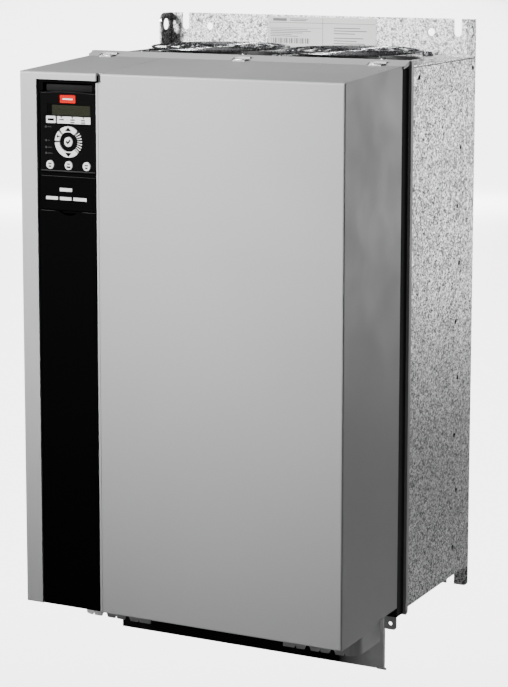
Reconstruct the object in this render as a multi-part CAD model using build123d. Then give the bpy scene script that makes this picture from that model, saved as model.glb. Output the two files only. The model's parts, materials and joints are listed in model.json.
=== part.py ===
from build123d import *
import os
from math import cos, radians, sin

# Wall-hung variable frequency drive.
# Frame: millimetres, +X to the right seen from the front, -Y towards the front, +Z up.
# Origin: on the wall face, midway between the upper and the lower mounting slots.

os.makedirs("parts", exist_ok=True)

# ---------------------------------------------------------------- driving dimensions
HALF_WIDTH = 187.5          # back plate and rail, to each side of the middle
FLANGE_TOP = 315.0          # top edge of the upper mounting flange
FLANGE_BOTTOM = -315.0      # bottom edge of the lower mounting flange
SHEET = 1.5                 # chassis sheet
PLATE = 2.0                 # back plate
CHASSIS_TOP = 275.7
CHASSIS_BOTTOM = -290.6
RAIL_BACK = -172.0          # painted rail around the chassis mouth
RAIL_FRONT = -178.0
RAIL_TOP = 281.0
RAIL_BOTTOM = -298.0

SLOT_X = 167.0              # keyhole-less mounting slots, open to the edge
SLOT_R = 4.5
SLOT_Z = 300.0
HOLE_X = 136.0              # round holes in the upper flange
HOLE_R = 4.25
EAR_REACH = 27.0            # lifting ears bent forward from the flange
EYE_R = 7.0
EYE_Y = -13.0
EYE_Z = 302.0

COVER_LEFT = -180.0
COVER_RIGHT = 185.0
COVER_FRONT = -335.0
COVER_REAR = -196.0
COVER_BOTTOM = -291.0
COVER_TOP_FRONT = 269.0
COVER_TOP_REAR = 276.6
COVER_WALL = 2.5
SEAM_X = -87.0
STRIP_LEFT = -160.0         # black strip let into the left cover
STRIP_RIGHT = -89.5
STRIP_TOP = 261.4

PAD_LEFT = -157.0           # keypad, name panel and terminal cover share this width
PAD_RIGHT = -91.0
PAD_TOP = 247.6
PAD_CROWN = 249.0
PAD_BOTTOM = 166.5
PAD_FRONT = -333.0
PAD_BACK = -311.0
NAME_TOP = 163.0
NAME_BOTTOM = 127.8
TERMINAL_TOP = 127.4
TERMINAL_BOTTOM = -290.5

FAN_X = 80.0
FAN_Y = -84.0
FAN_BORE = 73.0
FAN_FOOT = 222.0
FAN_HEAD = 274.0
ROTOR_R = 70.0
GUARD_WIRE = 1.2
GUARD_RINGS = (26.0, 42.0, 58.0, 74.0)
GUARD_RISE = 4.5            # height of the guard's arms above its screw loops
GUARD_LUG = 62.0            # guard screws sit on a square of twice this side

RING_X = -123.0             # navigation ring on the keypad
RING_Z = 198.4
RING_OUT = 15.8
RING_IN = 10.2
OK_R = 5.0
ROUND_R = 4.5
KEY_FACE = -334.2
KEY_FOOT = -330.6
POCKET_FLOOR = -329.6
KEY_GAP = 0.3


# ---------------------------------------------------------------- helpers
def block(x0, x1, y0, y1, z0, z1):
    """Box between two corners."""
    size = Box(x1 - x0, y1 - y0, z1 - z0)
    return Pos((x0 + x1) / 2, (y0 + y1) / 2, (z0 + z1) / 2) * size


def rod_x(y, z, r, x0, x1):
    """Cylinder along X."""
    return Pos((x0 + x1) / 2, y, z) * Rot(0, 90, 0) * Cylinder(r, x1 - x0)


def rod_y(x, z, r, y0, y1):
    """Cylinder along Y."""
    return Pos(x, (y0 + y1) / 2, z) * Rot(90, 0, 0) * Cylinder(r, y1 - y0)


def rod_z(x, y, r, z0, z1):
    """Cylinder along Z."""
    return Pos(x, y, (z0 + z1) / 2) * Cylinder(r, z1 - z0)


def prism_x(points, x0, x1):
    """Y-Z outline carried from x0 to x1."""
    face = Plane.YZ * make_face(Polyline(*points, close=True))
    return Pos(x0, 0, 0) * extrude(face, x1 - x0)


def prism_y(points, y0, y1):
    """X-Z outline carried from y0 to y1, y0 the nearer to the front."""
    face = Plane.XZ * make_face(Polyline(*points, close=True))
    return Pos(0, y1, 0) * extrude(face, y1 - y0)


def sector(x, z, r0, r1, a0, a1, y0, y1):
    """Part of a ring about an axis along Y, between two angles from +X towards +Z."""
    ring = rod_y(x, z, r1, y0, y1) - rod_y(x, z, r0, y0 - 1, y1 + 1)
    steps = 6
    fan = [(x, z)]
    for i in range(steps + 1):
        a = radians(a0 + (a1 - a0) * i / steps)
        fan.append((x + 3 * r1 * cos(a), z + 3 * r1 * sin(a)))
    return ring & prism_y(fan, y0, y1)


def put(node, shape):
    """Write one node."""
    pieces = shape if isinstance(shape, list) else [shape]
    solids = [s for p in pieces for s in p.solids()]
    body = solids[0] if len(solids) == 1 else Compound(children=solids)
    body.label = node
    export_step(body, "parts/" + node + ".step")


# ---------------------------------------------------------------- chassis sheets
plate = block(-HALF_WIDTH, HALF_WIDTH, -PLATE, 0, FLANGE_BOTTOM, FLANGE_TOP)
plate = fillet(plate.edges().filter_by(Axis.Y).sort_by(Axis.Z)[:2], 5)
for side in (-1, 1):
    x = side * SLOT_X
    for end in (-1, 1):
        z = end * SLOT_Z
        past = end * (FLANGE_TOP + 5)
        plate -= rod_y(x, z, SLOT_R, -PLATE - 1, 1)
        plate -= block(x - SLOT_R, x + SLOT_R, -PLATE - 1, 1, min(z, past), max(z, past))
    plate -= rod_y(side * HOLE_X, SLOT_Z, HOLE_R, -PLATE - 1, 1)
    ear = block(HALF_WIDTH - PLATE, HALF_WIDTH, -EAR_REACH, 0, CHASSIS_TOP + 0.1, FLANGE_TOP)
    corner = ear.edges().filter_by(Axis.X).group_by(Axis.Z)[-1].sort_by(Axis.Y)[0]
    ear = fillet(corner, 10) - rod_x(EYE_Y, EYE_Z, EYE_R, HALF_WIDTH - 5, HALF_WIDTH + 5)
    ear += block(162, HALF_WIDTH - 1, -EAR_REACH, -PLATE, CHASSIS_TOP + 0.1, CHASSIS_TOP + 2.1)
    plate += ear if side > 0 else mirror(ear, Plane.YZ)
put("back_plate", plate)

SIDE_HOLES = [(-158.5, 262.4), (-8.4, 263.4)]
SIDE_HOLES += [(-40.5 if i % 2 == 0 else -48.0, 180.5 - 62.7 * i) for i in range(8)]
PANEL_TOP = CHASSIS_TOP - SHEET - 1.0
panel = block(HALF_WIDTH - SHEET, HALF_WIDTH, RAIL_BACK, -PLATE, CHASSIS_BOTTOM, PANEL_TOP)
panel += block(HALF_WIDTH - 16, HALF_WIDTH - SHEET, -PLATE - SHEET, -PLATE, CHASSIS_BOTTOM + 2, PANEL_TOP - 1)
for y, z in SIDE_HOLES:
    panel -= rod_x(y, z, 2.75, HALF_WIDTH - 3, HALF_WIDTH + 2)
put("side_panel_right", panel)
put("side_panel_left", mirror(panel, Plane.YZ))

inner = HALF_WIDTH - SHEET
lid = block(-HALF_WIDTH, HALF_WIDTH, RAIL_BACK, -PLATE - SHEET, CHASSIS_TOP - SHEET, CHASSIS_TOP)
for side in (-1, 1):
    lid -= rod_z(side * FAN_X, FAN_Y, FAN_BORE, CHASSIS_TOP - 5, CHASSIS_TOP + 5)
    for dx in (-GUARD_LUG, GUARD_LUG):
        for dy in (-GUARD_LUG, GUARD_LUG):
            lid -= rod_z(side * FAN_X + dx, FAN_Y + dy, 2.2, CHASSIS_TOP - 5, CHASSIS_TOP + 5)
put("top_plate", lid)

floor = block(-inner, inner, RAIL_BACK, -PLATE - SHEET, CHASSIS_BOTTOM, CHASSIS_BOTTOM + SHEET)
for x in (-132, -44, 44, 132):
    floor -= block(x - 38, x + 38, -148, -20, CHASSIS_BOTTOM - 1, CHASSIS_BOTTOM + 3)
put("bottom_plate", floor)

# Sheet between the air channel and the electronics, cut away in front of the heat sink.
MID_FRONT = -165.8
MID_BACK = -164.3
middle = block(-inner, inner, MID_FRONT, MID_BACK, CHASSIS_BOTTOM + SHEET, CHASSIS_TOP - SHEET)
middle -= block(-85, 172, MID_FRONT - 1, MID_BACK + 1, -80, 190)
put("mid_plate", middle)

# ---------------------------------------------------------------- painted rail with its hook ledge
rail = block(-HALF_WIDTH, HALF_WIDTH, RAIL_FRONT, RAIL_BACK, RAIL_BOTTOM, RAIL_TOP)
low_back = rail.edges().filter_by(Axis.X).sort_by(Axis.Z)[:2].sort_by(Axis.Y)[-1]
rail = fillet(low_back, 4)
rail -= block(-178, 178, RAIL_FRONT - 1, RAIL_BACK + 1, -272, 262)
ledge = prism_x([(RAIL_FRONT, RAIL_TOP), (RAIL_FRONT, RAIL_TOP - 4), (-195, 273.2), (-195, 276.2)], -185, 186)
ledge = fillet([e for e in ledge.edges() if e.center().X < -184 and abs(e.center().Y + 195) < 0.1], 9)
HOOKS = (-157.0, 3.0, 157.0)
ROLL_Y = -187.0             # the covers turn on rolls at the ends of their hooks
ROLL_Z = 279.0
for x in HOOKS:
    ledge -= block(x - 13, x + 8, -196, ROLL_Y + 1.8, 268, 285)
put("front_frame", rail + ledge)

gasket = block(-179.4, 184.4, -194.6, RAIL_FRONT, -296.5, 272.5)
gasket -= block(-174, 174, -196, RAIL_FRONT + 1, -268, 267.5)
put("frame_gasket", gasket)

# ---------------------------------------------------------------- air channel
sink = block(-170, 170, MID_BACK, -152, -225, 214)
fins = [block(19.6 * i - 2, 19.6 * i + 2, -152, -16, -225, 214) for i in range(-8, 9)]
put("heat_sink", [sink] + fins)


def fan_housing(cx):
    """Square fan frame with its motor base, four struts and shaft."""
    body = block(cx - 75.5, cx + 75.5, FAN_Y - 75.5, FAN_Y + 75.5, FAN_FOOT, FAN_HEAD)
    body -= rod_z(cx, FAN_Y, FAN_BORE, FAN_FOOT - 1, FAN_HEAD + 1)
    for dx in (-GUARD_LUG, GUARD_LUG):
        for dy in (-GUARD_LUG, GUARD_LUG):
            body -= rod_z(cx + dx, FAN_Y + dy, 2.3, FAN_HEAD - 20, FAN_HEAD + 1)
    hub = rod_z(cx, FAN_Y, 34, FAN_FOOT, FAN_FOOT + 4)
    hub += block(cx - 74, cx + 74, FAN_Y - 5, FAN_Y + 5, FAN_FOOT, FAN_FOOT + 4)
    hub += block(cx - 5, cx + 5, FAN_Y - 74, FAN_Y + 74, FAN_FOOT, FAN_FOOT + 4)
    hub += rod_z(cx, FAN_Y, 3, FAN_FOOT, FAN_FOOT + 36)
    return body + hub


def fan_rotor(cx):
    """Seven-bladed rotor running on the housing's shaft."""
    hub = rod_z(cx, FAN_Y, 34, FAN_FOOT + 6, FAN_FOOT + 46)
    hub = fillet(hub.edges().group_by(Axis.Z)[-1], 3)
    blades = []
    for i in range(7):
        blade = Pos(51, 0, 0) * Rot(34, 0, 0) * Box(40, 44, 2.2)
        blades.append(Pos(cx, FAN_Y, FAN_FOOT + 26) * Rot(0, 0, i * 360 / 7) * blade)
    swept = [b & rod_z(cx, FAN_Y, ROTOR_R, FAN_FOOT, FAN_HEAD) for b in blades]
    return hub + swept - rod_z(cx, FAN_Y, 3.05, FAN_FOOT, FAN_FOOT + 37)


def fan_guard(cx):
    """Raised wire guard: rings on two crossed arms whose legs end in screw loops."""
    low = CHASSIS_TOP + GUARD_WIRE
    high = low + GUARD_RISE
    lug = GUARD_LUG * 2 ** 0.5
    reach = lug - 7
    guard = None
    for a in (45, 135, 225, 315):
        turn = Pos(cx, FAN_Y, 0) * Rot(0, 0, a)
        arm = turn * Pos(reach / 2, 0, high) * Rot(0, 90, 0) * Cylinder(GUARD_WIRE, reach)
        arm += turn * rod_z(reach, 0, GUARD_WIRE, low - 0.6, high + GUARD_WIRE * 0.5)
        arm += turn * rod_x(0, low, GUARD_WIRE, reach - 0.5, lug - 3.8)
        guard = arm if guard is None else guard + arm
    for r in GUARD_RINGS:
        guard += Pos(cx, FAN_Y, high + 1.6) * Torus(r, GUARD_WIRE)
    for dx in (-GUARD_LUG, GUARD_LUG):
        for dy in (-GUARD_LUG, GUARD_LUG):
            guard += Pos(cx + dx, FAN_Y + dy, low) * Torus(3.8, GUARD_WIRE)
    return guard


def pan_screw(x, y, z, r=3.6):
    """Pan-head screw standing on a level face at z, shank downwards."""
    head = rod_z(x, y, r, z, z + 2.4)
    head = fillet(head.edges().group_by(Axis.Z)[-1], 1.0)
    return head + rod_z(x, y, 2.0, z - 12, z + 0.5)


screws = []
for name, side in (("left", -1), ("right", 1)):
    cx = side * FAN_X
    put("fan_housing_" + name, fan_housing(cx))
    put("fan_rotor_" + name, fan_rotor(cx))
    put("fan_guard_" + name, fan_guard(cx))
    for dx in (-GUARD_LUG, GUARD_LUG):
        for dy in (-GUARD_LUG, GUARD_LUG):
            screws.append(pan_screw(cx + dx, FAN_Y + dy, CHASSIS_TOP + 2 * GUARD_WIRE))
put("fan_screws", screws)

core = block(-70, 70, -140, -30, -284, -234)
core -= block(-44, -14, -141, -29, -272, -246)
core -= block(14, 44, -141, -29, -272, -246)
put("choke_core", core)
put("choke_coils", [block(-43.5, -14.5, -148, -22, -271.5, -246.5), block(14.5, 43.5, -148, -22, -271.5, -246.5)])

# ---------------------------------------------------------------- power electronics behind the main cover
MODULE_X = (-40.0, 42.0, 124.0)
MODULE_FRONT = -194.3


def module(x, wide, z0, z1):
    """Power module: base, stepped housing and three screw terminals."""
    body = block(x - wide / 2, x + wide / 2, MID_BACK - 4, MID_BACK, z0, z1)
    body += block(x - wide / 2 + 3, x + wide / 2 - 3, MODULE_FRONT + 3, MID_BACK - 4, z0 + 8, z1 - 8)
    body += block(x - wide / 2 + 6, x + wide / 2 - 6, MODULE_FRONT, MODULE_FRONT + 3, z0 + 16, z1 - 16)
    return body


put("rectifier_modules", [module(x, 46, 92, 182) for x in MODULE_X])
put("igbt_modules", [module(x, 64, -64, 62) for x in MODULE_X])

CAN_R = 28.0
CANS = [(-48 + 62 * i, z) for i in range(4) for z in (214, 148)]
bracket = block(-82, 172, -200, -198, 112, 250)
bracket += block(-82, -80, -198, MID_FRONT, 205, 250) + block(170, 172, -198, MID_FRONT, 205, 250)
put("capacitor_bracket", bracket)
cans = []
for x, z in CANS:
    can = rod_y(x, z, CAN_R, -298, -200)
    cans.append(fillet(can.edges().group_by(Axis.Y)[0], 2))
put("capacitor_bank", cans)
bus = block(-80, 168, -303, -301, 118, 244)
for x, z in CANS:
    bus += rod_y(x - 9, z, 5, -301, -298) + rod_y(x + 9, z, 5, -301, -298)
put("dc_bus_plate", bus)

in_bars = []
for x in (-62.0, -22.0, 18.0):
    in_bars.append(block(x - 8, x + 8, -206, -203, -176, 100))
put("input_busbars", in_bars)
OUT_X = (74.0, 112.0, 150.0)
out_bars = []
sensors = []
for x in OUT_X:
    out_bars.append(block(x - 8, x + 8, -206, -203, -176, 20))
    ring = block(x - 17, x + 17, -222, -187, -122, -104)
    sensors.append(ring - block(x - 10, x + 10, -209, -200, -123, -103))
put("output_busbars", out_bars)
put("current_sensors", sensors)


def terminal_block(xs, z0, z1):
    """Row of screw terminals with dividing ribs."""
    pitch = xs[1] - xs[0]
    left = xs[0] - pitch / 2
    right = xs[-1] + pitch / 2
    body = block(left, right, -203, MID_FRONT, z0, z1)
    for i in range(len(xs) + 1):
        x = left + i * pitch
        body += block(max(left, x - 1.5), min(right, x + 1.5), -226, -203, z0, z1)
    for x in xs:
        body += rod_y(x, (z0 + z1) / 2 - 10, 8, -214, -203) - rod_y(x, (z0 + z1) / 2 - 10, 4, -215, -208)
    return body


put("mains_terminals", terminal_block((-62.0, -22.0, 18.0), -236, -178))
put("motor_terminals", terminal_block(OUT_X, -236, -178))
put("earth_studs", [rod_y(x, -256, 5, -184, MID_FRONT) for x in (-60, -20, 20, 74, 112, 150)])

pcb = block(-82, 172, -232, -230, -92, 88)
for x in (-76, 166):
    for z in (-86, 82):
        pcb += rod_y(x, z, 4, -230, MID_FRONT)
put("power_board", pcb)
parts = [block(-70, -20, -268, -232, 20, 76), block(0, 40, -262, -232, 30, 70)]
parts += [block(-70 + 26 * i, -50 + 26 * i, -252, -232, -84, -62) for i in range(9)]
parts += [rod_y(70 + 24 * i, 50, 9, -270, -232) for i in range(4)]
parts += [block(-60 + 60 * i, -30 + 60 * i, -240, -232, -40, -10) for i in range(4)]
put("power_components", parts)

board = block(-174, -95, -282, -280, -262, 250)
for z in (-240, 0, 235):
    board += rod_y(-135, z, 5, -280, MID_FRONT)
for z in (-190, -120, -40, 60, 130, 190):
    board += block(-165, -135, -287, -282, z, z + 24) + block(-125, -108, -289, -282, z + 4, z + 30)
put("control_board", board)


# ---------------------------------------------------------------- grey covers
def cover_prism(x0, x1, inset=0.0):
    """Cover outline with its sloping top, moved in by the wall thickness."""
    rise = inset
    return prism_x(
        [
            (COVER_FRONT + inset, COVER_BOTTOM + inset),
            (COVER_FRONT + inset, COVER_TOP_FRONT - rise),
            (COVER_REAR + (1 if inset else 0), COVER_TOP_REAR - rise),
            (COVER_REAR + (1 if inset else 0), COVER_BOTTOM + inset),
        ],
        x0,
        x1,
    )


def front_edges(shape):
    """The edges around the front face."""
    return [e for e in shape.edges() if abs(e.center().Y - COVER_FRONT) < 0.01]


def hook(x):
    """Tab that reaches from a cover's top edge into a slot of the ledge and ends in a roll."""
    tab = block(x - 7, x + 7, COVER_REAR - 6, ROLL_Y - 1.5, 274.0, 277.4)
    tab += block(x - 7, x + 7, ROLL_Y - 1.5, ROLL_Y + 1.5, 274.0, ROLL_Z)
    return tab + rod_x(ROLL_Y, ROLL_Z, 1.5, x - 7, x + 7)


NOTCH = block(-89.7, -83.8, COVER_FRONT - 1, COVER_FRONT + 5, 259.4, 272)
CABLE_CUT = block(-300, 300, -245, COVER_REAR + 2, COVER_BOTTOM - 1, COVER_BOTTOM + 5)

left = cover_prism(COVER_LEFT, SEAM_X - 0.25)
left = fillet([e for e in front_edges(left) if e.center().X < SEAM_X - 1], 2.0)
left -= cover_prism(COVER_LEFT + COVER_WALL, SEAM_X - 2.4, COVER_WALL)
left -= block(STRIP_LEFT, STRIP_RIGHT, COVER_FRONT - 1, COVER_FRONT + 5, COVER_BOTTOM - 1, STRIP_TOP)
left -= block(STRIP_LEFT, STRIP_RIGHT, COVER_FRONT - 1, -296, COVER_BOTTOM - 1, COVER_BOTTOM + 5)
left -= CABLE_CUT
left -= NOTCH
left += hook(HOOKS[0])
put("control_cover", left)

door = cover_prism(SEAM_X + 0.25, COVER_RIGHT)
door = fillet([e for e in front_edges(door) if e.center().X > SEAM_X + 1], 2.0)
door -= cover_prism(SEAM_X + 2.4, COVER_RIGHT - COVER_WALL, COVER_WALL)
door -= CABLE_CUT
door -= NOTCH
for x in HOOKS[1:]:
    door += hook(x)
put("main_cover", door)

# ---------------------------------------------------------------- black strip: cradle, name panel, terminal cover
CRADLE_BACK = -297.0
PIN_Y = -331.0              # the terminal cover swings on two pins in the cradle's sides
PIN_Z = -287.0
PIN_R = 1.0
cradle = block(STRIP_LEFT + 0.3, STRIP_RIGHT - 0.3, -333, CRADLE_BACK, TERMINAL_BOTTOM, STRIP_TOP - 0.3)
cradle -= block(PAD_LEFT - 0.3, PAD_RIGHT + 0.3, -340, CRADLE_BACK - 3, PAD_BOTTOM - 0.3, PAD_CROWN + 0.5)
cradle -= block(PAD_LEFT - 0.3, PAD_RIGHT + 0.3, -340, CRADLE_BACK - 3, TERMINAL_BOTTOM - 1, NAME_TOP + 0.2)
cradle -= block(PAD_LEFT + 4, PAD_RIGHT - 4, -340, -326, PAD_CROWN - 1, STRIP_TOP - 3)
cradle -= block(-140, -106, CRADLE_BACK - 4, CRADLE_BACK + 1, 196, 216)
cradle -= rod_x(PIN_Y, PIN_Z, PIN_R + 0.2, STRIP_LEFT - 1, PAD_LEFT + 1)
cradle -= rod_x(PIN_Y, PIN_Z, PIN_R + 0.2, PAD_RIGHT - 1, STRIP_RIGHT + 1)
put("control_cradle", cradle)
socket = block(-138, -108, PAD_BACK + 0.5, CRADLE_BACK + 6, 198, 214)
socket = chamfer(socket.edges().group_by(Axis.Y)[0], 1.5)
put("keypad_socket", socket)

name = block(PAD_LEFT, PAD_RIGHT, -333.4, CRADLE_BACK - 3, NAME_BOTTOM, NAME_TOP)
name = chamfer(name.edges().group_by(Axis.Y)[0], 0.6)
put("name_panel", name)

strips = []
for z0 in (-236, -150, -64, 22):
    strip = block(-150, -112, -318, CRADLE_BACK - 3, z0, z0 + 72)
    for i in range(8):
        strip -= rod_y(-140, z0 + 4.5 + 9 * i, 1.8, -319, -312)
        strip -= block(-131, -118, -319, -312, z0 + 2.7 + 9 * i, z0 + 6.3 + 9 * i)
    strips.append(strip)
put("control_terminals", strips)

lid = block(PAD_LEFT, PAD_RIGHT, -334, -323, TERMINAL_BOTTOM, TERMINAL_TOP)
lid = chamfer(lid.edges().group_by(Axis.Y)[0], 0.6)
lid -= block(PAD_LEFT + 2.2, PAD_RIGHT - 2.2, -331.6, -320, TERMINAL_BOTTOM + 2.2, TERMINAL_TOP - 2.2)
lid -= rod_y(-123.3, TERMINAL_TOP + 12, 16.5, -340, -331)
lid += rod_x(PIN_Y, PIN_Z, PIN_R, PAD_LEFT - 1.6, PAD_LEFT + 1)
lid += rod_x(PIN_Y, PIN_Z, PIN_R, PAD_RIGHT - 1, PAD_RIGHT + 0.9)
put("terminal_cover", lid)

# ---------------------------------------------------------------- keypad
crown = ThreePointArc((PAD_LEFT, PAD_TOP), (-124, PAD_CROWN), (PAD_RIGHT, PAD_TOP))
rim = Polyline((PAD_RIGHT, PAD_TOP), (PAD_RIGHT, PAD_BOTTOM), (PAD_LEFT, PAD_BOTTOM), (PAD_LEFT, PAD_TOP))
pad = Pos(0, PAD_BACK, 0) * extrude(Plane.XZ * make_face(Curve() + [crown, rim]), PAD_BACK - PAD_FRONT)
pad = chamfer([e for e in pad.edges() if abs(e.center().Y - PAD_FRONT) < 0.01], 0.8)
pad -= block(-148.4, -97.3, -340, PAD_FRONT + 2.4, 225, 236.8)
pad -= block(-149.2, -97.1, -340, POCKET_FLOOR, 216.8, 224.4)
pad -= sector(RING_X, RING_Z, RING_IN - KEY_GAP, RING_OUT + KEY_GAP, 42, 320, -340, POCKET_FLOOR)
pad -= rod_y(RING_X, RING_Z, OK_R + KEY_GAP, -340, POCKET_FLOOR)
ROUND_KEYS = (("left", -145.0), ("middle", -123.0), ("right", -101.8))
for _, x in ROUND_KEYS:
    pad -= rod_y(x, 174.3, ROUND_R + KEY_GAP, -340, POCKET_FLOOR)
LEDS = (213.0, 199.0, 192.0, 186.0)
for z in LEDS:
    pad -= rod_y(-150, z, 1.2, -340, PAD_FRONT + 1.5)
put("keypad_housing", pad)

put("lcd_panel", block(-148.1, -97.6, PAD_FRONT + 1.2, PAD_FRONT + 2.4, 225.3, 236.5))
put("display_glass", block(-148.1, -97.6, PAD_FRONT + 0.1, PAD_FRONT + 1.2, 225.3, 236.5))
put("legend_strip", block(-136.7, -97.4, PAD_FRONT - 0.1, POCKET_FLOOR, 217.1, 224.1))
badge = block(-132.7, -114.3, PAD_FRONT - 0.6, PAD_FRONT, 237.8, 246)
put("keypad_badge", fillet(badge.edges().filter_by(Axis.Y), 1.0))
put("indicator_leds", [rod_y(-150, z, 1.1, PAD_FRONT - 0.2, PAD_FRONT + 1.5) for z in LEDS])

put("key_menu", block(-148.9, -137.2, KEY_FACE, KEY_FOOT, 217.1, 224.1))
for name, a0, a1 in (("up", 45, 130), ("back", 134, 178), ("down", 182, 317)):
    put("key_" + name, sector(RING_X, RING_Z, RING_IN, RING_OUT, a0, a1, KEY_FACE, KEY_FOOT))


def round_key(x, z, r):
    """Round key with an eased rim."""
    key = rod_y(x, z, r, KEY_FACE, KEY_FOOT)
    return fillet(key.edges().group_by(Axis.Y)[0], 0.6)


put("key_ok", round_key(RING_X, RING_Z, OK_R))
for name, x in ROUND_KEYS:
    put("key_round_" + name, round_key(x, 174.3, ROUND_R))

# ---------------------------------------------------------------- below the covers
TRAY_FRONT = -250.0
TRAY_HALF = 164.0
TRAY_REAR = -190.0
TRAY_TOP = -291.5
TRAY_BOTTOM = -326.5
TRAY_GAP_LEFT = -79.0       # the lip is cut away between its two groups of lobes
TRAY_GAP_RIGHT = 80.0
LOBE = 28.0
tray = block(-TRAY_HALF, TRAY_HALF, TRAY_FRONT, TRAY_REAR, TRAY_BOTTOM, TRAY_TOP)
tray = fillet(tray.edges().filter_by(Axis.Z).group_by(Axis.Y)[0], 15)
hollow = block(-TRAY_HALF + 2.5, TRAY_HALF - 2.5, TRAY_FRONT + 2.5, TRAY_REAR + 5, TRAY_BOTTOM - 5, TRAY_TOP - 2.5)
hollow = fillet(hollow.edges().filter_by(Axis.Z).group_by(Axis.Y)[0], 12.5)
tray -= hollow
tray -= block(-150, 150, TRAY_FRONT + 8, -197.8, TRAY_TOP - 5, TRAY_TOP + 5)
tray -= block(-TRAY_HALF - 1, TRAY_HALF + 1, -195, TRAY_REAR + 1, -296.8, TRAY_TOP + 1)
tray += block(-150, 150, -197.8, -195.2, -300, TRAY_TOP)
tray += block(-150, 150, -197.8, RAIL_FRONT, -300, -296.8)
tray -= block(TRAY_GAP_LEFT, TRAY_GAP_RIGHT, TRAY_FRONT - 1, TRAY_FRONT + 8, TRAY_BOTTOM - 1, TRAY_TOP - 6)


def lobe_gap(x, half, rise):
    """Nick between two lobes of the tray's lip."""
    low = TRAY_BOTTOM - 1
    return prism_y([(x - half, low), (x - half / 3, TRAY_BOTTOM + rise), (x + half / 3, TRAY_BOTTOM + rise), (x + half, low)], -252, -246)


# Each side of the lip has three lobes, and each lobe has a small notch in its middle.
for start in (TRAY_GAP_LEFT - 3 * LOBE, TRAY_GAP_RIGHT):
    for i in range(3):
        tray -= lobe_gap(start + (i + 0.5) * LOBE, 1.7, 3)
    for i in range(1, 3):
        tray -= lobe_gap(start + i * LOBE, 4.5, 6)
put("cable_tray", tray)

guide = block(-159, 159, -170, -168, -364, -298.2)
guide += block(-159, 159, -170, -150, -300.2, -298.2)
for side in (-1, 1):
    x0, x1 = sorted((side * 157, side * 159))
    guide += block(x0, x1, -170, -165, -364, -298.2)
guide += block(153, 163, -172, -170, -364, -362)
put("cable_bracket", guide)
fixings = []
for x in (-120, -40, 40, 120):
    head = rod_z(x, -158, 4, -303, -300.3)
    fixings.append(head)
put("bracket_screws", fixings)

tab = block(163.0, 176.6, RAIL_FRONT, RAIL_FRONT + 2, -316.4, RAIL_BOTTOM)
tab = fillet(tab.edges().filter_by(Axis.Y).group_by(Axis.Z)[0], 3) - rod_y(170, -310, 2.2, -181, -175)
tab += block(163.0, 176.6, RAIL_FRONT, -168, RAIL_BOTTOM - 2, RAIL_BOTTOM)
put("earth_tab", tab)

put("nameplate", block(-61, 71, -PLATE - 0.4, -PLATE, 279, 313))
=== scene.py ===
import bpy, bmesh, json, math
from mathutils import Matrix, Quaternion, Vector


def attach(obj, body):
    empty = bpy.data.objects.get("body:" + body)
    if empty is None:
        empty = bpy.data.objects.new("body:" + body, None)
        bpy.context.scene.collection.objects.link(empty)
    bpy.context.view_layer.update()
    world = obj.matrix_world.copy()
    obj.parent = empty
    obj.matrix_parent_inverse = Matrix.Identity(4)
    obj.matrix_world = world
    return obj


# Visual model of a wall-mounted variable frequency drive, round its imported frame.
# The origin is on the wall face, front is -Y, up is +Z. Prints, wires and blocks are given in
# millimetres and turned into metres by MM; camera, lights, bump distances and the floor are in metres.

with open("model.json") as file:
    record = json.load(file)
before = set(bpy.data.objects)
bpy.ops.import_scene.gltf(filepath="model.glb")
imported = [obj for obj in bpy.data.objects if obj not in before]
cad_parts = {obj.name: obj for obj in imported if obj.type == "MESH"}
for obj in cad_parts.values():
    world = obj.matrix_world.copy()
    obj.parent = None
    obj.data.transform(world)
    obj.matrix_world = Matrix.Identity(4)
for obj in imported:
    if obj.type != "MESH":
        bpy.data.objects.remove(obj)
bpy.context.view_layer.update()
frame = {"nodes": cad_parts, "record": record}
NODES = frame["nodes"]
MM = 0.001
scene = bpy.context.scene
coll = scene.collection

# ------------------------------------------------------------------ driving dimensions, millimetres
HALF_WIDTH = 187.5              # of the back plate
KEY_FACE = -334.2               # Y of the front of each key, and so on for the other faces
BADGE_FACE = -333.6
LID_FACE = -333.6
PANEL_FACE = -333.4
STRIP_FACE = -333.1
HOUSING_FACE = -333.0
DISPLAY_FACE = -332.9
PLATE_FACE = -2.4
STRIP_HIGHLIGHT_ENDS = (-156.4, -91.6)   # X of both ends of the painted highlights across the black strip
FINGER_NOTCH = (-139.0, -107.6) # X of the gap that the lid's notch leaves in its painted highlight
RING_X, RING_Z = -123.0, 198.4  # centre of the ring of keys
RING_IN, RING_OUT = 10.2, 15.8  # its radii
RING_KEYS = {"key_up": (45, 130), "key_back": (134, 178), "key_down": (182, 317)}
EYE_Y, EYE_Z, EYE_R = -13.0, 302.0, 7.0
INK = 0.06                      # thickness of a print


# ------------------------------------------------------------------ camera
LENS = 117.38
SENSOR = 36.0
CAMERA_SHIFT = (0.02, -0.15)
CAMERA_PLACE = (1.0619, -2.2691, 0.4324)
YAW, PITCH = math.radians(27.07), math.radians(8.42)


def make_camera():
    """A long lens a little to the right of the drive and slightly above it, looking down at it."""
    cam = bpy.data.cameras.new("camera")
    cam.lens = LENS
    cam.sensor_width = SENSOR
    cam.shift_x, cam.shift_y = CAMERA_SHIFT
    cam.clip_end = 50
    ob = bpy.data.objects.new("camera", cam)
    ob.location = CAMERA_PLACE
    look = Vector((-math.sin(YAW) * math.cos(PITCH), math.cos(YAW) * math.cos(PITCH), -math.sin(PITCH)))
    ob.rotation_mode = "QUATERNION"
    ob.rotation_quaternion = look.to_track_quat("-Z", "Y")
    coll.objects.link(ob)
    scene.camera = ob


make_camera()


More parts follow.
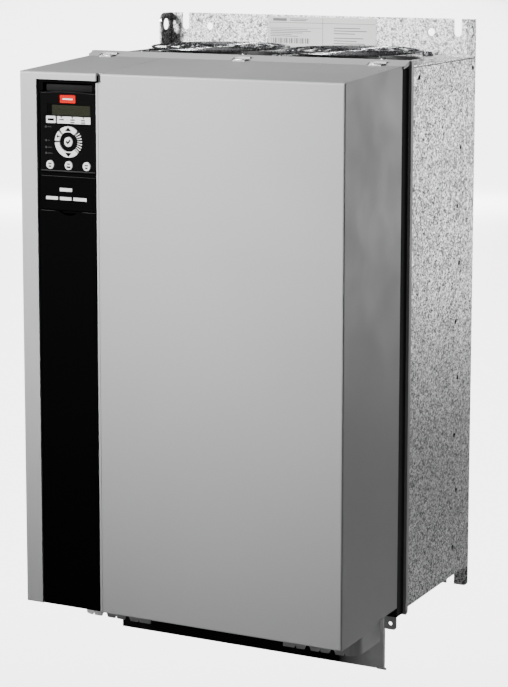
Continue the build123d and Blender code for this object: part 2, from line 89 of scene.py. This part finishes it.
# ------------------------------------------------------------------ material helpers
class Mat:
    """A principled material with short names for the nodes used again and again."""

    def __init__(self, name, rough=0.5, metal=0.0, spec=0.5):
        self.m = bpy.data.materials.new(name)
        self.m.use_nodes = True
        self.t = self.m.node_tree
        self.b = self.t.nodes["Principled BSDF"]
        self.b.inputs["Roughness"].default_value = rough
        self.b.inputs["Metallic"].default_value = metal
        self.b.inputs["Specular IOR Level"].default_value = spec
        self.co = self.n("ShaderNodeTexCoord").outputs["Object"]
        self.height = None

    def n(self, kind, **props):
        node = self.t.nodes.new(kind)
        for key, value in props.items():
            setattr(node, key, value)
        return node

    def link(self, a, b):
        self.t.links.new(a, b)

    def stretched(self, sx, sy, sz):
        """Coordinates scaled by a different amount along each axis."""
        node = self.n("ShaderNodeMapping")
        node.inputs["Scale"].default_value = (sx, sy, sz)
        self.link(self.co, node.inputs["Vector"])
        return node.outputs["Vector"]

    def noise(self, scale, detail=3.0, vec=None):
        node = self.n("ShaderNodeTexNoise")
        node.inputs["Scale"].default_value = scale
        node.inputs["Detail"].default_value = detail
        node.inputs["Roughness"].default_value = 0.55
        self.link(vec or self.co, node.inputs["Vector"])
        return node.outputs["Fac"]

    def cells(self, scale, out="Color", feature="F1"):
        node = self.n("ShaderNodeTexVoronoi", feature=feature)
        node.inputs["Scale"].default_value = scale
        self.link(self.co, node.inputs["Vector"])
        return node.outputs[out]

    def ramp(self, fac, stops):
        """Colour that runs through stops, each a position and an RGB colour."""
        node = self.n("ShaderNodeValToRGB")
        el = node.color_ramp.elements
        while len(el) < len(stops):
            el.new(0.5)
        for e, (position, colour) in zip(el, stops):
            e.position = position
            e.color = (*colour, 1.0)
        self.link(fac, node.inputs["Fac"])
        return node.outputs["Color"]

    def span(self, fac, lo, hi, a=0.0, b=1.0):
        """The range lo..hi of fac, carried to a..b."""
        node = self.n("ShaderNodeMapRange")
        for key, value in zip(("From Min", "From Max", "To Min", "To Max"), (lo, hi, a, b)):
            node.inputs[key].default_value = value
        self.link(fac, node.inputs["Value"])
        return node.outputs["Result"]

    def math(self, op, a, b):
        node = self.n("ShaderNodeMath", operation=op)
        for i, value in enumerate((a, b)):
            if isinstance(value, (int, float)):
                node.inputs[i].default_value = value
            else:
                self.link(value, node.inputs[i])
        return node.outputs[0]

    def mix(self, fac, a, b):
        node = self.n("ShaderNodeMix", data_type="RGBA")
        for sock, value in zip((node.inputs["Factor"], node.inputs[6], node.inputs[7]), (fac, a, b)):
            if isinstance(value, (int, float)):
                sock.default_value = value
            elif isinstance(value, tuple):
                sock.default_value = (*value, 1.0)
            else:
                self.link(value, sock)
        return node.outputs[2]

    def colour(self, c):
        self.link(c, self.b.inputs["Base Color"])

    def rough(self, r):
        self.link(r, self.b.inputs["Roughness"])

    def bump(self, height, dist, strength):
        """Adds one more layer of relief on top of those before it."""
        node = self.n("ShaderNodeBump")
        node.inputs["Strength"].default_value = strength
        node.inputs["Distance"].default_value = dist
        self.link(height, node.inputs["Height"])
        if self.height is not None:
            self.link(self.height, node.inputs["Normal"])
        self.height = node.outputs["Normal"]
        self.link(self.height, self.b.inputs["Normal"])


def scaled(c, k):
    return tuple(min(1.0, v * k) for v in c)


def grey(v):
    return (v, v, v)


# ------------------------------------------------------------------ kinds of finish
def powder(name, c, rough=0.45, peel=0.35):
    """Powder-coated sheet: orange-peel skin, slight tone drift, faint rubbed patches."""
    m = Mat(name, rough)
    drift = m.noise(3.0, 4)
    fine = m.noise(650)
    base = m.ramp(drift, [(0.3, scaled(c, 0.965)), (0.7, scaled(c, 1.03))])
    m.colour(m.mix(m.span(fine, 0.35, 0.65, 0.0, 0.10), base, scaled(c, 0.8)))
    m.rough(m.span(m.noise(14, 5), 0.3, 0.7, rough - 0.05, rough + 0.07))
    m.bump(fine, 0.00012, peel)
    m.bump(m.noise(2200, 2), 0.00004, peel * 0.7)
    return m.m


def zinc(name, dark=0.07, light=0.86, spangle=680, rough=0.40):
    """Hot-dip galvanised sheet with small bright and dark spangles."""
    m = Mat(name, rough, metal=0.8)
    small = m.cells(spangle)
    large = m.cells(spangle * 0.45)
    tone = m.n("ShaderNodeRGBToBW")
    m.link(m.mix(0.3, small, large), tone.inputs[0])
    fine = m.noise(900, 2)
    g = m.math("ADD", m.math("MULTIPLY", tone.outputs[0], 0.7), m.math("MULTIPLY", fine, 0.2))
    g = m.math("ADD", g, m.math("MULTIPLY", m.noise(9, 4), 0.1))
    mid = (dark + light) * 0.40
    m.colour(m.ramp(g, [
        (0.34, (dark, dark * 1.01, dark * 1.02)),
        (0.50, (mid, mid, mid * 1.01)),
        (0.68, grey(light)),
    ]))
    m.rough(m.span(tone.outputs[0], 0.2, 0.8, rough + 0.12, rough - 0.12))
    m.bump(tone.outputs[0], 0.00010, 0.6)
    m.bump(m.noise(1400), 0.00005, 0.35)
    return m.m


def moulded(name, c, rough=0.5, grain=900, depth=0.3, spec=0.5):
    """Injection-moulded plastic with a spark-eroded grain, and ink printed on it."""
    m = Mat(name, rough, spec=spec)
    g = m.noise(grain)
    m.colour(m.mix(m.span(m.noise(6, 4), 0.3, 0.7, 0.0, 0.35), c, scaled(c, 1.25)))
    m.rough(m.span(g, 0.3, 0.7, rough - 0.08, rough + 0.1))
    m.bump(g, 0.00008, depth)
    return m.m


def metal(name, c, rough=0.3, brushed=(60, 60, 900), depth=0.15):
    """Bare metal with drawn or brushed lines and dull blotches."""
    m = Mat(name, rough, metal=1.0)
    lines = m.noise(1.0, 4, vec=m.stretched(*brushed))
    blotches = m.noise(25, 5)
    m.colour(m.mix(m.span(blotches, 0.3, 0.75, 0.0, 0.5), c, scaled(c, 0.72)))
    m.rough(m.span(lines, 0.3, 0.7, rough - 0.07, rough + 0.15))
    m.bump(lines, 0.00005, depth)
    return m.m


def foam(name, c):
    """Closed-cell foam, its cells darker in their hollows as painted shade, lighter at their walls."""
    m = Mat(name, 0.9)
    g = m.cells(700, "Distance")
    m.colour(m.mix(m.span(g, 0.1, 0.7), scaled(c, 0.6), scaled(c, 1.5)))
    m.bump(g, 0.0002, 0.6)
    return m.m


def board(name, c):
    """Solder mask over copper tracks."""
    m = Mat(name, 0.35)
    tracks = m.cells(120, "Distance", "DISTANCE_TO_EDGE")
    line = m.span(tracks, 0.04, 0.07)
    mask = m.mix(m.span(m.noise(20), 0.3, 0.7), c, scaled(c, 1.2))
    m.colour(m.mix(line, scaled(c, 1.9), mask))
    m.bump(line, 0.00006, 0.4)
    m.rough(m.span(m.noise(300), 0.3, 0.7, 0.3, 0.42))
    return m.m


def shadowed_bracket_finish(name, lit_from=0.118, lit_to=0.158):
    """Steel strip in painted shade: near black where the cover and tray shade it, turning pale grey towards
    its lit right-hand end, fully pale from the second X bound, in metres, on.
    """
    m = Mat(name, 0.5, spec=0.05)
    sep = m.n("ShaderNodeSeparateXYZ")
    m.link(m.co, sep.inputs[0])
    ragged = m.math("ADD", sep.outputs[0], m.math("MULTIPLY", m.noise(30), 0.02))
    lit_share = m.span(ragged, lit_from, lit_to)
    pale = m.ramp(m.noise(60), [(0.3, grey(0.82)), (0.7, grey(0.92))])
    # grey(0.005) is painted shade and the pale ramp is the lit end; the ragged X bound is where the painted
    # shade fades out
    m.colour(m.mix(lit_share, grey(0.005), pale))
    m.bump(m.noise(900), 0.0001, 0.2)
    return m.m


def tinted_glass(name, clear=0.4):
    """Dark olive cover glass of the display, partly see-through."""
    m = Mat(name, 0.25, spec=0.02)
    m.b.inputs["Alpha"].default_value = 1.0 - clear
    m.colour(m.ramp(m.noise(400), [(0.3, (0.030, 0.032, 0.021)), (0.7, (0.038, 0.040, 0.027))]))
    m.bump(m.noise(900), 0.00002, 0.1)
    return m.m


# each material slot of the record: maker, name, colour, roughness, then what that maker takes
FINISHES = (
    (zinc, "galvanised"),
    (powder, "rail_paint", (0.45, 0.45, 0.455), 0.42),
    (powder, "cover_paint", (0.43, 0.43, 0.435), 0.42),
    (foam, "gasket_foam", (0.008, 0.008, 0.0085)),
    (metal, "bare_aluminium", (0.72, 0.72, 0.74), 0.35, (900, 900, 20)),
    (moulded, "fan_plastic", (0.012, 0.012, 0.013), 0.42),
    (metal, "bright_wire", (0.30, 0.30, 0.31), 0.25, (300, 300, 300)),
    (moulded, "module_plastic", (0.03, 0.03, 0.032), 0.5),
    (moulded, "can_sleeve", (0.02, 0.025, 0.06), 0.3, 200),
    (metal, "copper_bar", (0.80, 0.42, 0.26), 0.3, (60, 60, 900)),
    (metal, "core_steel", (0.22, 0.22, 0.23), 0.55, (20, 2600, 20), 0.5),
    (moulded, "terminal_grey", (0.22, 0.225, 0.22), 0.5),
    (board, "board_green", (0.02, 0.11, 0.05)),
    (moulded, "component_dark", (0.03, 0.03, 0.034), 0.45),
    (moulded, "terminal_green", (0.03, 0.24, 0.09), 0.42),
    (moulded, "strip_black", (0.0015, 0.0015, 0.0016), 0.6, 1100, 0.3, 0.01),
    (moulded, "keypad_black", (0.002, 0.002, 0.0021), 0.55, 1200, 0.25, 0.015),
    (moulded, "key_white", (0.70, 0.70, 0.69), 0.5, 1500, 0.2),
    (moulded, "legend_white", (0.70, 0.70, 0.69), 0.45, 1200, 0.15),
    (moulded, "badge_red", (0.50, 0.006, 0.003), 0.4, 1500, 0.1, 0.05),
    (moulded, "lcd_olive", (0.060, 0.062, 0.034), 0.3, 1500, 0.1, 0.02),
    (moulded, "led_grey", grey(0.03), 0.3, 1500, 0.1, 0.2),
    (moulded, "tray_plastic", (0.52, 0.525, 0.53), 0.48, 800, 0.3),
    (moulded, "label_foil", (0.55, 0.55, 0.54), 0.4, 900, 0.1),
    (tinted_glass, "lens"),
)
M = {name: maker(name, *rest) for maker, name, *rest in FINISHES}

# finishes of single nodes that share a slot with others
OWN_FINISH = {
    # the cable bracket gets painted shade, dark but for its lit right-hand end
    "cable_bracket": shadowed_bracket_finish("bracket_painted_shade"),
    "earth_tab": powder("tab_steel", (0.74, 0.74, 0.745), 0.5),
}

# inks, and the finishes of the details below; the grey for the edges of the black mouldings and the pale
# cover paint on the covers' bevels are painted highlights, the dark grey round the ears' eyes is painted
# shade
ink = moulded("ink_black", grey(0.004), 0.6, 1500, 0.05, 0.03)
ink_grey = moulded("ink_grey", grey(0.07), 0.5, 1500, 0.05, 0.1)
# painted highlight: grey lines on the edges of the black mouldings, where light catches them
highlight_grey = moulded("highlight_grey", (0.016, 0.016, 0.0165), 0.45, 1500, 0.05, 0.1)
recess_grey = moulded("recess_grey", grey(0.008), 0.6, 1500, 0.05, 0.04)
led_word_grey = moulded("led_word_grey", grey(0.028), 0.5, 1500, 0.05, 0.05)
plate_ink = moulded("plate_ink", grey(0.10), 0.5, 1500, 0.05)
# painted shade: dark rings round the eyes of the lifting ears, on their raw cut edges
eye_rim_shade = moulded("eye_rim_shade", (0.05, 0.05, 0.052), 0.5, 1500, 0.1, 0.2)
# painted highlight: pale paint for the covers' bevelled edges, where light would catch them
cover_edge_highlight = powder("cover_edge_highlight", grey(0.78), 0.4)


def paint_nodes():
    """Gives every CAD node the material of its slot, or its own finish."""
    slot_of = {s["node"]: s["material_slot"] for s in frame["record"]["subparts"]}
    for name, ob in NODES.items():
        ob.data.materials.clear()
        ob.data.materials.append(OWN_FINISH.get(name) or M[slot_of[name]])


paint_nodes()


# ------------------------------------------------------------------ mesh helpers
def add_bm(name, bm, mat, body, smooth_angle=None):
    """Turns bm into an object that rides on body."""
    bmesh.ops.recalc_face_normals(bm, faces=bm.faces)
    me = bpy.data.meshes.new(name)
    bm.to_mesh(me)
    bm.free()
    me.materials.append(mat)
    if smooth_angle:
        me.shade_smooth()
        me.set_sharp_from_angle(angle=math.radians(smooth_angle))
    ob = bpy.data.objects.new(name, me)
    coll.objects.link(ob)
    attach(ob, body)


def bm_box(bm, x0, x1, y0, y1, z0, z1, bevel):
    """Adds a box in millimetres to bm, its edges eased by bevel."""
    v = [bm.verts.new((x * MM, y * MM, z * MM)) for x in (x0, x1) for y in (y0, y1) for z in (z0, z1)]
    quads = [(0, 1, 3, 2), (4, 6, 7, 5), (0, 4, 5, 1), (2, 3, 7, 6), (0, 2, 6, 4), (1, 5, 7, 3)]
    faces = [bm.faces.new([v[i] for i in q]) for q in quads]
    edges = list({e for face in faces for e in face.edges})
    bmesh.ops.bevel(bm, geom=edges, offset=bevel * MM, segments=2, affect="EDGES", profile=0.5)


def bm_print(bm, outline, y, thick):
    """Adds a flat printed shape, an X-Z outline in millimetres, standing thick proud of y."""
    front = [bm.verts.new((x * MM, (y - thick) * MM, z * MM)) for x, z in outline]
    back = [bm.verts.new((x * MM, y * MM, z * MM)) for x, z in outline]
    bm.faces.new(front)
    bm.faces.new(list(reversed(back)))
    n = len(outline)
    for i in range(n):
        bm.faces.new((front[i], front[(i + 1) % n], back[(i + 1) % n], back[i]))


def prints(name, outlines, y, mat, body, thick=INK):
    """One object of all outlines, printed on the face at y."""
    bm = bmesh.new()
    for outline in outlines:
        bm_print(bm, outline, y, thick)
    add_bm(name, bm, mat, body)


def block(name, boxes, bevel, mat, body):
    """One object of all boxes, each given as x0, x1, y0, y1, z0, z1."""
    bm = bmesh.new()
    for box in boxes:
        bm_box(bm, *box, bevel)
    add_bm(name, bm, mat, body, 40)


def wire(name, points, r, mat, body, closed=False):
    """A round wire of radius r through points, in millimetres."""
    cu = bpy.data.curves.new(name, "CURVE")
    cu.dimensions = "3D"
    cu.bevel_depth = r * MM
    cu.bevel_resolution = 4
    cu.use_fill_caps = True
    sp = cu.splines.new("NURBS")
    sp.points.add(len(points) - 1)
    for p, (x, y, z) in zip(sp.points, points):
        p.co = (x * MM, y * MM, z * MM, 1)
    sp.order_u = 3
    sp.use_endpoint_u = not closed
    sp.use_cyclic_u = closed
    sp.resolution_u = 6
    cu.materials.append(mat)
    ob = bpy.data.objects.new(name, cu)
    coll.objects.link(ob)
    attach(ob, body)


def ease(node, width, segments=2, edge=None):
    """Eased edges on a CAD node, as a modifier, so its mesh stays as it is."""
    ob = NODES[node]
    b = ob.modifiers.new("ease", "BEVEL")
    b.width = width * MM
    b.segments = segments
    b.limit_method = "ANGLE"
    b.angle_limit = math.radians(50)
    b.harden_normals = True
    b.use_clamp_overlap = True
    if edge:
        ob.data.materials.append(edge)
        b.material = 1


# ------------------------------------------------------------------ outlines
def rect(x0, x1, z0, z1):
    return [(x0, z0), (x1, z0), (x1, z1), (x0, z1)]


def tri(cx, cz, w, h):
    """Triangle pointing up for positive h."""
    return [(cx - w / 2, cz - h / 2), (cx + w / 2, cz - h / 2), (cx, cz + h / 2)]


def on_ring(radius, degrees):
    """Point at radius from the ring's centre, at an angle from +X towards +Z."""
    a = math.radians(degrees)
    return RING_X + radius * math.cos(a), RING_Z + radius * math.sin(a)


def ring_bar(degrees, inward, width=0.5):
    """Bar across the ring along a key's end, width wide to the side that inward gives, 1 or -1."""
    a = math.radians(degrees)
    dx, dz = -width * inward * math.sin(a), width * inward * math.cos(a)
    inner, outer = on_ring(RING_IN, degrees), on_ring(RING_OUT, degrees)
    return [inner, outer, (outer[0] + dx, outer[1] + dz), (inner[0] + dx, inner[1] + dz)]


# ------------------------------------------------------------------ keypad legends
def arrow_back():
    """Arrow to the left, in the middle of the back key."""
    x, z = on_ring(13.0, 156)
    head = [(x - 2.1, z), (x - 0.1, z + 2.2), (x - 0.1, z - 2.2)]
    return [head, rect(x - 0.1, x + 1.9, z - 0.7, z + 0.7)]


def tick_mark():
    """Tick on the round key in the middle of the ring."""
    around = ((-3.2, 0.1), (-1.9, 1.4), (-0.6, 0.1), (1.9, 2.8), (3.2, 1.5), (-0.6, -2.5))
    return [[(RING_X + x, RING_Z + z) for x, z in around]]


def key_icons():
    """Arrows, tick and plain dashes on the keys, each riding on its key."""
    arrow = 8.0, 4.2
    reach = 13.1
    icons = (
        ("icon_up", "key_up", [tri(RING_X, RING_Z + reach, arrow[0], arrow[1])]),
        ("icon_down", "key_down", [tri(RING_X, RING_Z - reach, arrow[0], -arrow[1])]),
        ("icon_back", "key_back", arrow_back()),
        ("icon_ok", "key_ok", tick_mark()),
        ("icon_left", "key_round_left",
         [rect(-147.0, -143.0, 174.9, 176.3), rect(-146.5, -143.5, 171.9, 173.5)]),
        ("icon_middle", "key_round_middle",
         [rect(-124.6, -121.4, 175.2, 176.6), rect(-125.4, -120.6, 171.8, 173.8)]),
        ("icon_right", "key_round_right",
         [rect(-103.9, -99.7, 174.8, 176.1), rect(-103.3, -100.3, 171.9, 173.5)]),
        ("icon_menu", "key_menu",
         [rect(-147.0, -139.6, 219.4, 221.8), rect(-137.7, -137.2, 217.1, 224.1)]),
    )
    for name, key, outlines in icons:
        prints(name, outlines, KEY_FACE, ink, key)


def strip_legends():
    """Small pointers and plain bars on the white strip under the display."""
    pointers = [tri(x, 223.1, 2.6, -1.9) for x in (-131.5, -118.5, -105.5)]
    prints("strip_marks", pointers, STRIP_FACE, ink, "keypad")
    bars = []
    for x, widths in ((-134.6, (6.0,)), (-120.8, (5.2, 5.0)), (-108.2, (4.6, 5.0))):
        for row, w in enumerate(widths):
            bars.append(rect(x, x + w, 220.1 - 2.4 * row, 221.5 - 2.4 * row))
    prints("strip_bars", bars, STRIP_FACE, ink_grey, "keypad")


def ring_ticks(count=8, first=36.0, step=11.2):
    """White slanting ticks that close the ring on its right."""
    low, high = RING_IN + 0.2, RING_OUT - 0.1
    ticks = []
    for k in range(count):
        a = first - k * step
        ticks.append([on_ring(low, a), on_ring(high, a - 1.8), on_ring(high, a + 2.6), on_ring(low, a + 3.0)])
    prints("ring_ticks", ticks, HOUSING_FACE, M["legend_white"], "keypad", 0.2)


def key_ends():
    """Dark lines along both ends of each key in the ring."""
    for key, (start, end) in RING_KEYS.items():
        prints(key + "_ends", [ring_bar(start, 1), ring_bar(end, -1)], KEY_FACE, ink, key)


def led_marks(left=-148.2, half=0.45):
    """Faint bars beside the indicator lights."""
    lengths = {213: 4.6, 199: 2.6, 192: 5.0, 186: 5.8}
    bars = [rect(left, left + w, z - half, z + half) for z, w in lengths.items()]
    prints("led_marks", bars, HOUSING_FACE, led_word_grey, "keypad")


def blank_bars():
    """Black border of the display, and plain bars in place of words on the badge and the panel."""
    border = [rect(-148.1, -142.6, 225.3, 236.5), rect(-142.6, -97.6, 235.7, 236.5)]
    prints("display_border", border, DISPLAY_FACE, M["strip_black"], "keypad")
    badge = [rect(-129.4, -117.6, 241.2, 242.6)]
    prints("badge_bar", badge, BADGE_FACE, M["legend_white"], "keypad")
    bars = [rect(-134.0, -119.5, 147.6, 151.0)]
    bars += [rect(x, x + w, 138.6, 141.8) for x, w in ((-150.5, 14.0), (-134.0, 13.5), (-118.0, 15.5))]
    prints("panel_bars", bars, PANEL_FACE, M["legend_white"], "chassis")


key_icons()
strip_legends()
ring_ticks()
key_ends()
led_marks()
blank_bars()


# ------------------------------------------------------------------ painted highlights on the edges of the black mouldings
def crown_highlight(half=32.0, low=247.6, rise=1.3, steps=10):
    """Painted highlight along the arched top edge of the keypad."""
    left = -156.2
    points = []
    for i in range(2 * steps + 1):
        arch = rise * (1 - ((i - steps) / steps) ** 2)
        points.append((left + half / steps * i, HOUSING_FACE, low + arch))
    wire("keypad_crown_highlight", points, 0.35, highlight_grey, "keypad")


def highlight_strip(name, body, face, z, height, runs):
    """Raised strip of painted highlight from z up, proud of face by 0.3, along each run of X."""
    boxes = [(x0, x1, face - 0.3, face + 0.6, z, z + height) for x0, x1 in runs]
    block(name, boxes, 0.25, highlight_grey, body)


def strip_details():
    """Painted highlights along the edges across the black strip, and the block in the recess above the
    keypad.
    """
    left, right = STRIP_HIGHLIGHT_ENDS
    whole = (STRIP_HIGHLIGHT_ENDS,)
    beside_notch = ((left, FINGER_NOTCH[0]), (FINGER_NOTCH[1], right))
    crown_highlight()
    highlight_strip("keypad_foot_highlight", "keypad", STRIP_FACE, 167.6, 1.3, whole)
    highlight_strip("panel_top_highlight", "chassis", HOUSING_FACE, 162.3, 0.6, whole)
    highlight_strip("lid_top_highlight", "terminal_cover", LID_FACE, 126.6, 0.7, beside_notch)
    recess = (-150.5, -95.5, -330.5, -326.1, 249.4, 256.2)
    block("recess_block", [recess], 0.5, recess_grey, "chassis")


strip_details()


# ------------------------------------------------------------------ nameplate
def nameplate():
    """Rules, plain bars and strokes, no words."""
    rules = [rect(-60, 70, 306.2, 306.7), rect(6.2, 6.7, 280, 312), rect(-60, 5, 300.6, 300.9)]
    for row, w in enumerate((46, 50, 40, 26, 34)):
        rules.append(rect(-58, -58 + w, 298.6 - 1.9 * row, 299.3 - 1.9 * row))
    for k in range(22):
        x = -57 + 2.2 * k
        w = 0.6 + 0.7 * ((k * 7) % 3)
        rules.append(rect(x, x + w * 0.8, 283.4, 289.2))
    rules += [rect(-55, -38, 308.2, 311.2), rect(-34, -12, 310.2, 311.0), rect(-34, -14, 308.6, 309.4)]
    for row, (upper, lower) in enumerate(((52, 56), (60, 48), (46, 58))):
        rules.append(rect(20, upper, 301.0 - 3.0 * row, 302.0 - 3.0 * row))
        rules.append(rect(20, lower, 290.0 - 3.0 * row, 291.0 - 3.0 * row))
    prints("plate_rules", rules, PLATE_FACE, plate_ink, "chassis", 0.05)


nameplate()


# ------------------------------------------------------------------ metal details
def hook_tabs(half=7.2):
    """Bright tabs on the ledge, one over each hook, riding on the cover that has the hook."""
    for n, (x, body) in enumerate(((-157, "chassis"), (3, "main_cover"), (157, "main_cover"))):
        tab = (x - half, x + half, -199.5, -188.9, 277.3, 278.1)
        block("hook_tab_%d" % n, [tab], 0.3, M["bright_wire"], body)


def eye_shade_rings(points=24, r=0.55):
    """Dark rings round the eyes of the lifting ears, just inside their outer faces: the raw cut edge,
    darkened into painted shade so the eye stands out from the flange behind.
    """
    x = HALF_WIDTH - 0.7
    turns = [math.radians(360 / points * i) for i in range(points)]
    for side, sign in (("left", -1), ("right", 1)):
        eye = [(sign * x, EYE_Y + EYE_R * math.cos(t), EYE_Z + EYE_R * math.sin(t)) for t in turns]
        wire("ear_eye_%s" % side, eye, r, eye_rim_shade, "chassis", closed=True)


hook_tabs()
eye_shade_rings()

# ------------------------------------------------------------------ eased edges on the parts that are seen
EASED = {
    "terminal_cover": 0.35, "name_panel": 0.2, "control_cradle": 0.4, "cable_tray": 0.5,
    "back_plate": 0.3, "cable_bracket": 0.4, "earth_tab": 0.3, "fan_housing_left": 0.4,
    "fan_housing_right": 0.4, "mains_terminals": 0.4, "motor_terminals": 0.4,
}
# the covers' bevels take the pale paint as their second material, a painted highlight along their edges
for node in ("control_cover", "main_cover"):
    ease(node, 0.9, segments=3, edge=cover_edge_highlight)
for node, width in EASED.items():
    ease(node, width)

# ------------------------------------------------------------------ floor, world and lights, in metres
FLOOR_Z = -1.25
FLOOR_SIZE = 400


def floor():
    """Wide pale floor under the drive, which the wall holds above it."""
    m = Mat("floor_pale", 0.95, spec=0.1)
    m.colour(m.ramp(m.noise(2.0), [(0.3, grey(0.93)), (0.7, grey(0.95))]))
    s = FLOOR_SIZE / 2
    corners = [(-s, -s, FLOOR_Z), (s, -s, FLOOR_Z), (s, s, FLOOR_Z), (-s, s, FLOOR_Z)]
    me = bpy.data.meshes.new("floor")
    me.from_pydata(corners, [], [(0, 1, 2, 3)])
    ob = bpy.data.objects.new("floor", me)
    ob.data.materials.append(m.m)
    coll.objects.link(ob)


def studio_world():
    """Dim grey surroundings, a little lighter overhead."""
    world = bpy.data.worlds.new("studio")
    world.use_nodes = True
    tree = world.node_tree
    co = tree.nodes.new("ShaderNodeTexCoord")
    sep = tree.nodes.new("ShaderNodeSeparateXYZ")
    ramp = tree.nodes.new("ShaderNodeValToRGB")
    horizon, overhead = ramp.color_ramp.elements
    horizon.position, horizon.color = 0.0, (0.06, 0.06, 0.061, 1)
    overhead.position, overhead.color = 0.8, (0.10, 0.10, 0.10, 1)
    tree.links.new(co.outputs["Generated"], sep.inputs[0])
    tree.links.new(sep.outputs[2], ramp.inputs[0])
    tree.links.new(ramp.outputs[0], tree.nodes["Background"].inputs[0])
    tree.nodes["Background"].inputs[1].default_value = 1.0
    scene.world = world


def area(name, place, target, width, height, watts, roll=0.0, spread=180.0):
    """Softbox at place, aimed at target, that the camera doesn't see."""
    li = bpy.data.lights.new(name, "AREA")
    li.shape = "RECTANGLE"
    li.size = width
    li.size_y = height
    li.energy = watts
    li.spread = math.radians(spread)
    ob = bpy.data.objects.new(name, li)
    ob.location = place
    ob.rotation_mode = "QUATERNION"
    aim = (Vector(target) - Vector(place)).to_track_quat("-Z", "Y")
    ob.rotation_quaternion = aim @ Quaternion((0, 0, 1), math.radians(roll))
    ob.visible_camera = False
    coll.objects.link(ob)


floor()
studio_world()
# two lights wash the floor that the camera sees behind the drive; their long sides follow its line of sight
area("backdrop_far", (-12.1, 23.5, -0.6), (-12.1, 23.5, FLOOR_Z), 10.5, 33.0, 6000, roll=27.1)
area("backdrop_near", (-2.9, 5.5, -0.8), (-2.9, 5.5, FLOOR_Z), 3.4, 9.0, 540, roll=27.1)
area("top", (0.0, -0.1, 2.2), (0, -0.1, 0), 1.2, 1.2, 7)
area("key", (-1.35, -2.2, 1.0), (-0.1, -0.335, 0.33), 0.7, 0.8, 6.4, spread=26)
area("rim", (1.5, 3.1, 0.10), (0.19, -0.1, -0.05), 0.9, 1.5, 5.2, spread=80)
area("front_floor", (-1.9, -3.5, 0.1), (-1.9, -3.5, FLOOR_Z), 1.6, 1.6, 10)
